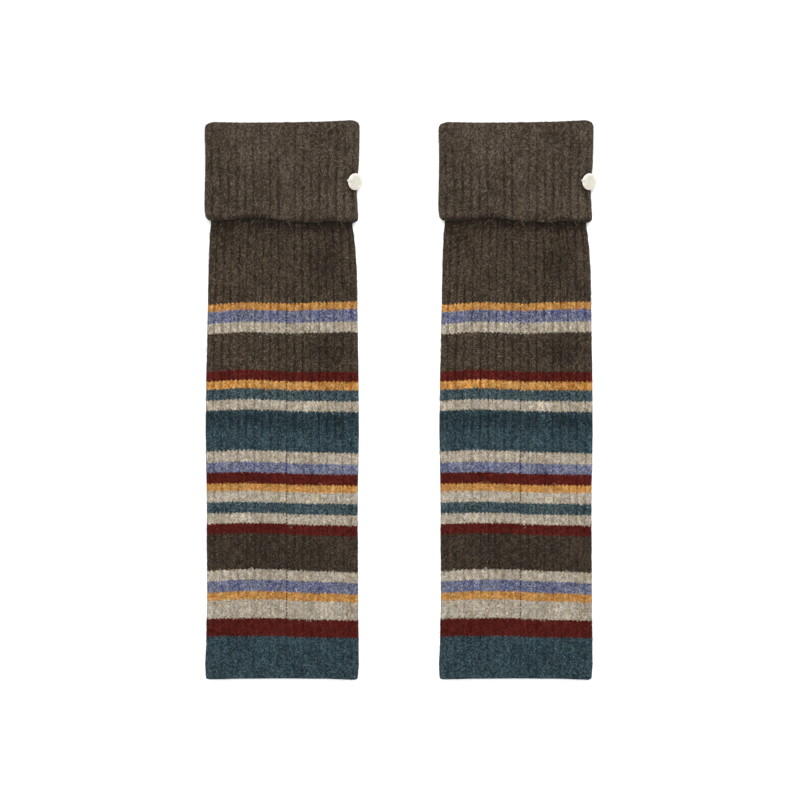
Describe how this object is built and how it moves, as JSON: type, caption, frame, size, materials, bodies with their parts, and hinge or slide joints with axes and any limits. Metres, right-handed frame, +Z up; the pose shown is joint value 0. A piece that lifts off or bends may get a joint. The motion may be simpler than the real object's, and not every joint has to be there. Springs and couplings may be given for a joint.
{
  "type": "pair of leg warmers",
  "caption": "Rib-knit striped wool leg warmers laid flat, each a tube with its top folded down as a plain cuff and a small button at the cuff's edge.",
  "frame": {"origin": "on the table, at the middle of the pair's outline", "axes": "+Y runs along the legs from the hems to the cuffs, +X runs across the pair to the button side of each cuff, +Z is up from the table"},
  "size_m": [0.3538, 0.5034, 0.0164],
  "materials": {
    "striped_wool": "soft heathered wool in a two by two rib, striped across in brown, ochre, grey blue, oat, oxblood and dark teal",
    "brown_wool": "soft heathered dark brown wool in a two by two rib",
    "pale_shell": "polished pale shell colour, dished"
  },
  "bodies": {
    "root": {"tube_left": "striped_wool", "cuff_left": "brown_wool", "button_left": "pale_shell", "tube_right": "striped_wool", "cuff_right": "brown_wool", "button_right": "pale_shell"}
  },
  "joints": []
}
